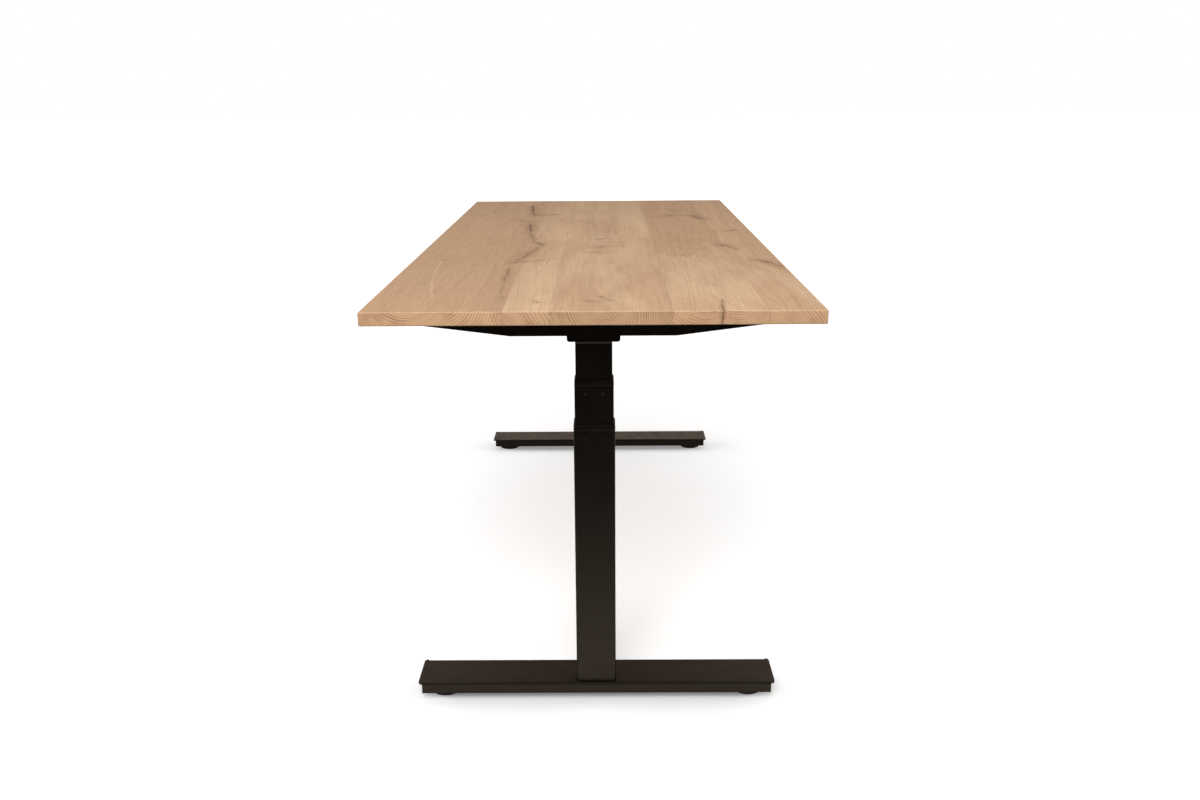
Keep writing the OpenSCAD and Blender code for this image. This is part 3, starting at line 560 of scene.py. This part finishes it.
FINISHES = {
    "oak": oak(),
    "black_powder_coat": powder_coat(),
    "collar_plastic": plastic(
        "collar_plastic",
        dark=(0.0018, 0.0014, 0.0010),
        light=(0.0028, 0.0021, 0.0015),
        roughness=0.44,
        gloss=WARM_GLOSS,
    ),
    "glide_rubber": plastic(
        "glide_rubber",
        dark=(0.008, 0.0065, 0.005),
        light=(0.012, 0.010, 0.008),
        roughness=0.60,
        grain=500.0,
        strength=0.25,
        gloss=PALE_GLOSS,
    ),
    "guide_plastic": plastic(
        "guide_plastic", dark=(0.46, 0.44, 0.39), light=(0.54, 0.52, 0.46), roughness=0.42
    ),
    "bright_steel": metal(
        "bright_steel", (0.58, 0.57, 0.55), roughness=0.26, stretch=(60.0, 60.0, 900.0)
    ),
    "cast_housing": metal(
        "cast_housing", (0.46, 0.47, 0.48), roughness=0.52, stretch=(500.0, 500.0, 500.0)
    ),
    "motor_case": metal(
        "motor_case", (0.52, 0.53, 0.52), roughness=0.34, stretch=(900.0, 60.0, 60.0)
    ),
    "black_screws": metal(
        "black_screws", (0.045, 0.045, 0.048), roughness=0.36, stretch=(300.0, 300.0, 300.0)
    ),
    "box_plastic": plastic(
        "box_plastic", dark=(0.010,) * 3, light=(0.016,) * 3, roughness=0.55
    ),
    "handset_plastic": plastic(
        "handset_plastic", dark=(0.011,) * 3, light=(0.017,) * 3, roughness=0.50
    ),
    "display_window": plastic(
        "display_window",
        dark=(0.004,) * 3,
        light=(0.006,) * 3,
        roughness=0.12,
        grain=60.0,
        strength=0.0,
    ),
    "button_plastic": plastic(
        "button_plastic", dark=(0.030,) * 3, light=(0.042,) * 3, roughness=0.46
    ),
    "edge_highlight_and_pegs": plastic(
        "edge_highlight_and_pegs",
        dark=(0.010, 0.008, 0.006),
        light=(0.018, 0.014, 0.010),
        roughness=0.36,
        gloss=PALE_GLOSS,
    ),
    "peg_plastic": plastic(
        "peg_plastic",
        dark=(0.036, 0.028, 0.021),
        light=(0.048, 0.038, 0.029),
        roughness=0.40,
        gloss=PALE_GLOSS,
    ),
    "white_print": plastic(
        "white_print", dark=(0.52,) * 3, light=(0.62,) * 3, roughness=0.55
    ),
    "lit_digits": lit_digits(),
}


def finish_nodes():
    """Gives every node of the model the material of its slot in the record."""
    for row in frame["record"]["subparts"]:
        mesh = NODES[row["node"]].data
        mesh.materials.clear()
        mesh.materials.append(FINISHES[row["material_slot"]])


# ------------------------------------------------------------------ shapes


def rise(edge):
    """How much higher one end of an edge is than the other."""
    return abs(edge.verts[0].co.z - edge.verts[1].co.z)


def upright_edges(form):
    """The edges of a bmesh that aren't level."""
    return [edge for edge in form.edges if rise(edge) > LEVEL]


def bevel(form, edges, size, segments=2):
    bmesh.ops.bevel(
        form,
        geom=edges,
        offset=size,
        offset_type="OFFSET",
        segments=segments,
        profile=0.5,
        affect="EDGES",
        material=-1,
    )


def block(form, x, y, width, height, low, high):
    """Adds a block to a bmesh, with its middle at (x, y), from low to high along Z."""
    made = bmesh.ops.create_cube(form, size=1.0)["verts"]
    bmesh.ops.scale(form, vec=(width, height, high - low), verts=made)
    bmesh.ops.translate(form, vec=(x, y, (low + high) / 2.0), verts=made)


def mesh_as_it_is(form, name):
    """Turns a bmesh into a mesh without a change to its faces."""
    mesh = bpy.data.meshes.new(name)
    form.to_mesh(mesh)
    form.free()
    return mesh


def mesh_of(form, name):
    """Turns a closed bmesh into a mesh whose faces all point outwards."""
    bmesh.ops.recalc_face_normals(form, faces=form.faces[:])
    return mesh_as_it_is(form, name)


def fit_piece(name, mesh, body, finish):
    """Makes a mesh a piece of the desk that rides on one of its bodies."""
    mesh.materials.clear()
    mesh.materials.append(FINISHES[finish])
    piece = bpy.data.objects.new(name, mesh)
    bpy.context.collection.objects.link(piece)
    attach(piece, body)


def copies(name, pattern, places):
    """Copies of a mesh that faces +Z, each put at a point and turned to face a direction."""
    form = bmesh.new()
    for point, facing in places:
        first = len(form.verts)
        form.from_mesh(pattern)
        form.verts.ensure_lookup_table()
        facing = Vector(facing)
        level = Vector((0.0, 0.0, 1.0)) if abs(facing.z) < 0.5 else Vector((0.0, 1.0, 0.0))
        turned = Matrix((level.cross(facing), level, facing)).transposed().to_4x4()
        moved = Matrix.Translation(Vector(point)) @ turned
        bmesh.ops.transform(form, matrix=moved, verts=form.verts[first:])
    return mesh_as_it_is(form, name)


def facing_sitter(name, pattern, *points):
    """Copies of a mesh that faces +Z, turned to face the sitter."""
    return copies(name, pattern, [(point, TO_SITTER) for point in points])


def band(width, depth, radius, low, high, thick, soft):
    """A band round a rounded rectangle about the Z axis, with soft outer edges."""
    form = bmesh.new()
    block(form, 0.0, 0.0, width, depth, low, high)
    bevel(form, upright_edges(form), radius, 8)
    form.normal_update()
    flat = [face for face in form.faces if abs(face.normal.z) > 0.5]
    bmesh.ops.delete(form, geom=flat, context="FACES")
    bmesh.ops.recalc_face_normals(form, faces=form.faces[:])
    bmesh.ops.solidify(form, geom=form.faces[:], thickness=thick)
    form.normal_update()
    outer = []
    for edge in form.edges:
        faces = edge.link_faces
        square = len(faces) == 2 and abs(faces[0].normal.dot(faces[1].normal)) < 0.1
        if rise(edge) < LEVEL and square:
            side = min(faces, key=lambda face: abs(face.normal.z))
            middle = side.calc_center_median()
            if side.normal.x * middle.x + side.normal.y * middle.y > 0.0:
                outer.append(edge)
    bevel(form, outer, soft)
    return mesh_of(form, "band")


def disc(radius, low, high, soft, dimple=0.0):
    """A round button-like head about the Z axis, with a soft rim and a dimple."""
    form = bmesh.new()
    bmesh.ops.create_cone(
        form, cap_ends=True, segments=24, radius1=radius, radius2=radius, depth=high - low
    )
    bmesh.ops.translate(form, vec=(0.0, 0.0, (low + high) / 2.0), verts=form.verts[:])
    form.normal_update()
    if dimple:
        top = [face for face in form.faces if face.normal.z > 0.9]
        bmesh.ops.inset_region(form, faces=top, thickness=radius * 0.55)
        bmesh.ops.translate(form, vec=(0.0, 0.0, -dimple), verts=top[0].verts[:])
        bmesh.ops.scale(form, vec=(0.5, 0.5, 1.0), verts=top[0].verts[:])

    def on_rim(vert):
        return abs(vert.co.z - high) < 1e-8 and abs(vert.co.xy.length - radius) < 1e-6

    bevel(form, [edge for edge in form.edges if all(map(on_rim, edge.verts))], soft)
    return mesh_of(form, "disc")


def bars(strokes, soft):
    """Plain strokes, each given as (middle x, middle y, width, height, low, high)."""
    form = bmesh.new()
    for stroke in strokes:
        block(form, *stroke)
    form.normal_update()
    bevel(form, upright_edges(form), soft)
    return mesh_of(form, "bars")


def number(text, height, thick):
    """A plain number as a mesh that faces +Z, centred on the origin."""
    curve = bpy.data.curves.new("number", "FONT")
    curve.body = text
    curve.size = height
    curve.extrude = thick / 2.0
    curve.resolution_u = 4
    curve.align_x = "CENTER"
    curve.align_y = "CENTER"
    holder = bpy.data.objects.new("number", curve)
    mesh = bpy.data.meshes.new_from_object(holder)
    bpy.data.objects.remove(holder)
    bpy.data.curves.remove(curve)
    form = bmesh.new()
    form.from_mesh(mesh)
    bmesh.ops.remove_doubles(form, verts=form.verts[:], dist=1e-6)
    low = Vector([min(v.co[i] for v in form.verts) for i in range(3)])
    high = Vector([max(v.co[i] for v in form.verts) for i in range(3)])
    bmesh.ops.translate(form, vec=-(low + high) / 2.0, verts=form.verts[:])
    bpy.data.meshes.remove(mesh)
    return mesh_of(form, "number")


def arrow(width, height, thick, turn):
    """A triangle that faces +Z and points up, or down where turn is -1."""
    form = bmesh.new()
    across, up = width / 2.0, height / 2.0
    corners = [(-across, -up), (across, -up), (0.0, up)]
    face = form.faces.new(
        [form.verts.new((x * turn, y * turn, -thick / 2.0)) for x, y in corners]
    )
    raised = bmesh.ops.extrude_face_region(form, geom=[face])["geom"]
    moved = [item for item in raised if isinstance(item, bmesh.types.BMVert)]
    bmesh.ops.translate(form, vec=(0.0, 0.0, thick), verts=moved)
    form.normal_update()
    bevel(form, upright_edges(form), width * 0.08)
    return mesh_of(form, "arrow")


# ------------------------------------------------------------------ small details


Box = namedtuple("Box", "low high middle size")


def measured(corners):
    """A box from its lower and its upper corner."""
    low, high = corners
    middle = [(a + b) / 2.0 for a, b in zip(low, high)]
    return Box(low, high, middle, [b - a for a, b in zip(low, high)])


def column_details(side):
    """The tubes' rolled upper edges, painted paler as a highlight, the collars' peg heads and
    the seam on the foot.
    """
    for stage, body in (("outer", "base"), ("mid", f"middle_{side}")):
        tube = measured(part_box(f"{stage}_tube_{side}"))
        middle_x, top = tube.middle[0], tube.high[2]
        width, depth, _ = tube.size
        rolled = band(
            width + 2 * EDGE_PROUD,
            depth + 2 * EDGE_PROUD,
            radius=TUBE_CORNER[stage] + EDGE_PROUD,
            low=top - 0.0011,
            high=top - 0.0001,
            thick=0.0008,
            soft=0.0003,
        )
        rolled.transform(Matrix.Translation((middle_x, 0.0, 0.0)))
        # The rolled edge is painted paler than the coat, as a painted highlight along the
        # tube's top
        fit_piece(f"{stage}_tube_edge_{side}", rolled, body, "edge_highlight_and_pegs")

        # Two pegs on each wide face of the tube, and one on each narrow face
        head = disc(radius=0.0027, low=-0.0006, high=-0.00003, soft=0.0003, dimple=0.00035)
        peg_z = top - PEG_DROP
        places = [
            ((middle_x + s * width / 2.0, t * PEG_SPREAD, peg_z), (s, 0.0, 0.0))
            for s in (-1, 1)
            for t in (-1, 1)
        ]
        places += [((middle_x, t * depth / 2.0, peg_z), (0.0, t, 0.0)) for t in (-1, 1)]
        heads = copies(f"{stage}_peg_heads_{side}", head, places)
        finish = "peg_plastic" if stage == "mid" else "edge_highlight_and_pegs"
        fit_piece(f"{stage}_peg_heads_{side}", heads, body, finish)

    tube = measured(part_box(f"outer_tube_{side}"))
    foot_top = tube.low[2]
    seam = band(
        tube.size[0] + 2 * EDGE_PROUD,
        tube.size[1] + 2 * EDGE_PROUD,
        radius=0.0042,
        low=foot_top,
        high=foot_top + 0.0012,
        thick=0.001,
        soft=0.0003,
    )
    seam.transform(Matrix.Translation((tube.middle[0], 0.0, 0.0)))
    fit_piece(f"column_seam_{side}", seam, "base", "glide_rubber")


def digit_strokes(digit, middle_x):
    """The lit segments of a digit, as strokes."""
    wide, tall, stroke, gap = 0.0036, 0.0072, 0.0007, 0.0005
    segments = {
        "t": (middle_x, tall / 2, wide - gap, stroke),
        "m": (middle_x, 0.0, wide - gap, stroke),
        "b": (middle_x, -tall / 2, wide - gap, stroke),
        "u": (middle_x - wide / 2, tall / 4, stroke, tall / 2 - gap),
        "v": (middle_x + wide / 2, tall / 4, stroke, tall / 2 - gap),
        "l": (middle_x - wide / 2, -tall / 4, stroke, tall / 2 - gap),
        "w": (middle_x + wide / 2, -tall / 4, stroke, tall / 2 - gap),
    }
    return [(*segments[name], -0.0001, 0.00006) for name in LIT[digit]]


def handset_details():
    """Symbols on the keys, rings round them, and the display's frame and digits."""
    face_y = measured(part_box("handset_housing")).low[1]
    thick = 0.00016
    symbols = {
        "up": arrow(0.0044, 0.0036, thick, turn=1.0),
        "down": arrow(0.0044, 0.0036, thick, turn=-1.0),
        "one": number("1", 0.0056, thick),
        "two": number("2", 0.0056, thick),
        "three": number("3", 0.0056, thick),
        "store": band(
            0.0042,
            0.0042,
            radius=0.0020,
            low=-thick / 2.0,
            high=thick / 2.0,
            thick=0.0007,
            soft=0.00003,
        ),
    }
    ring = band(
        0.0112, 0.0112, radius=0.0055, low=-0.0003, high=0.0005, thick=0.0005, soft=0.0002
    )
    ring_points = []
    for key, symbol in symbols.items():
        button = measured(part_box(f"button_{key}"))
        x, _, z = button.middle
        made = facing_sitter(f"symbol_{key}", symbol, (x, button.low[1], z))
        fit_piece(f"symbol_{key}", made, f"button_{key}", "white_print")
        ring_points.append((x, face_y, z))
    rings = facing_sitter("key_rings", ring, *ring_points)
    fit_piece("key_rings", rings, "desk_top", "handset_plastic")

    glass = measured(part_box("handset_display"))
    x, _, z = glass.middle
    wide, _, tall = glass.size
    frame_ring = band(
        wide + 0.0018,
        tall + 0.0018,
        radius=0.0012,
        low=-0.0003,
        high=0.0006,
        thick=0.0008,
        soft=0.00025,
    )
    made = facing_sitter("display_frame", frame_ring, (x, face_y, z))
    fit_piece("display_frame", made, "desk_top", "handset_plastic")

    strokes = []
    for order, digit in enumerate(SHOWN):
        strokes += digit_strokes(digit, (order - 0.5) * DIGIT_PITCH)
    made = facing_sitter("display_digits", bars(strokes, 0.00025), (x, glass.low[1], z))
    fit_piece("display_digits", made, "desk_top", "lit_digits")


def control_box_details():
    """Frames round the sockets, pins in them, and a small lamp."""
    face_y = measured(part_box("control_box")).low[1]
    port_z = measured(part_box("control_box_plate")).low[2] - BOX_HEIGHT / 2.0
    frames = bmesh.new()
    pins = []
    for x, width, count, tall in PORTS:
        ring = band(
            width + 0.0022,
            PORT_HEIGHT + 0.0022,
            radius=0.0014,
            low=-0.0003,
            high=0.0006,
            thick=0.0010,
            soft=0.0003,
        )
        frames.from_mesh(facing_sitter("port_frame", ring, (x, face_y, port_z)))
        pitch = width / (count + 1)
        for order in range(count):
            pin_x = x - width / 2.0 + pitch * (order + 1)
            pins.append((pin_x, 0.0, PIN_WIDTH, tall, 0.0, PIN_LENGTH))
    mesh = mesh_as_it_is(frames, "port_frames")
    fit_piece("port_frames", mesh, "desk_top", "box_plastic")
    pins_place = (0.0, face_y + PIN_START, port_z)
    made = facing_sitter("port_pins", bars(pins, 0.0002), pins_place)
    fit_piece("port_pins", made, "desk_top", "bright_steel")
    lamp = disc(radius=0.0014, low=-0.0003, high=0.0005, soft=0.0002)
    made = facing_sitter("box_lamp", lamp, (LAMP_X, face_y, port_z))
    fit_piece("box_lamp", made, "desk_top", "lit_digits")


def frame_details():
    """Plastic mouths where the cross rails slide out of the centre frame."""
    frame_end = measured(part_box("center_frame")).high[0]
    for side, sign in (("left", -1.0), ("right", 1.0)):
        for row in ("front", "rear"):
            rail = measured(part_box(f"cross_rail_{row}_{side}"))
            _, y, z = rail.middle
            mouth = band(
                rail.size[1] + 0.0038,
                rail.size[2] + 0.0038,
                radius=0.0035,
                low=0.0,
                high=0.0035,
                thick=0.0017,
                soft=0.0006,
            )
            place = ((sign * frame_end, y, z), (sign, 0.0, 0.0))
            made = copies(f"rail_mouth_{row}_{side}", mouth, [place])
            fit_piece(f"rail_mouth_{row}_{side}", made, "desk_top", "box_plastic")


# ------------------------------------------------------------------ studio


def build_studio():
    """A wide floor, a white surround and three soft lamps."""
    form = bmesh.new()
    bmesh.ops.create_grid(form, x_segments=1, y_segments=1, size=FLOOR_REACH)
    mesh = mesh_as_it_is(form, "floor")
    mesh.materials.append(white_floor())
    floor = bpy.data.objects.new("floor", mesh)
    bpy.context.collection.objects.link(floor)

    build_surround()
    for lamp in LAMPS:
        soft_lamp(*lamp)


def build_surround():
    """A surround that the lens sees as plain white, brightest overhead.

    It is dim towards +X, where the paint then mirrors a dark room, and it has a bright
    backdrop of a warmer white low towards -X.
    """
    world = bpy.data.worlds.new("surround")
    bpy.context.scene.world = world
    g = Graph(world, "Background")
    x, _, z = g.split(g.add("ShaderNodeTexCoord").outputs["Generated"])
    seen = g.seen()
    overhead = g.remap(z, 0.29, 0.97, SKY_LOW, SKY_HIGH)
    backdrop = g.times(g.remap(x, -0.55, -0.90, 0.0, BACKDROP), g.remap(z, 0.47, 0.31))
    backdrop = g.times(backdrop, g.remap(z, 0.12, 0.24))
    warmth = g.times(backdrop, g.minus(1.0, seen))
    g.set("Strength", g.math("MAXIMUM", g.plus(overhead, backdrop), seen))
    g.set("Color", g.mix(warmth, WHITE, BACKDROP_COLOUR))


def soft_lamp(name, place, target, size, power):
    """A round diffuse lamp that neither the lens nor the paint's gloss sees."""
    lamp = bpy.data.lights.new(name, "AREA")
    lamp.shape = "DISK"
    lamp.size = size
    lamp.energy = power
    made = bpy.data.objects.new(name, lamp)
    bpy.context.collection.objects.link(made)
    aim = Vector(target) - Vector(place)
    made.location = place
    made.rotation_euler = aim.to_track_quat("-Z", "Y").to_euler()
    made.visible_camera = False
    made.visible_glossy = False


def build_camera():
    yaw = math.radians(CAMERA_YAW)
    pitch = math.radians(CAMERA_PITCH)
    roll = math.radians(CAMERA_ROLL)
    flat = math.cos(pitch)
    forward = Vector((-flat * math.cos(yaw), -flat * math.sin(yaw), -math.sin(pitch)))
    level = Vector((-math.sin(yaw), math.cos(yaw), 0.0))
    upright = level.cross(forward)
    right = level * math.cos(roll) + upright * math.sin(roll)
    up = upright * math.cos(roll) - level * math.sin(roll)
    turned = Matrix((right, up, -forward)).transposed().to_4x4()

    lens = bpy.data.cameras.new("camera")
    lens.sensor_width = SENSOR
    lens.lens = LENS
    camera = bpy.data.objects.new("camera", lens)
    bpy.context.collection.objects.link(camera)
    camera.matrix_world = Matrix.Translation(Vector(CAMERA_PLACE)) @ turned
    bpy.context.scene.camera = camera


# ------------------------------------------------------------------ scene

finish_nodes()
for side in ("left", "right"):
    column_details(side)
handset_details()
control_box_details()
frame_details()
build_studio()
build_camera()
bpy.context.scene.view_settings.view_transform = "Standard"
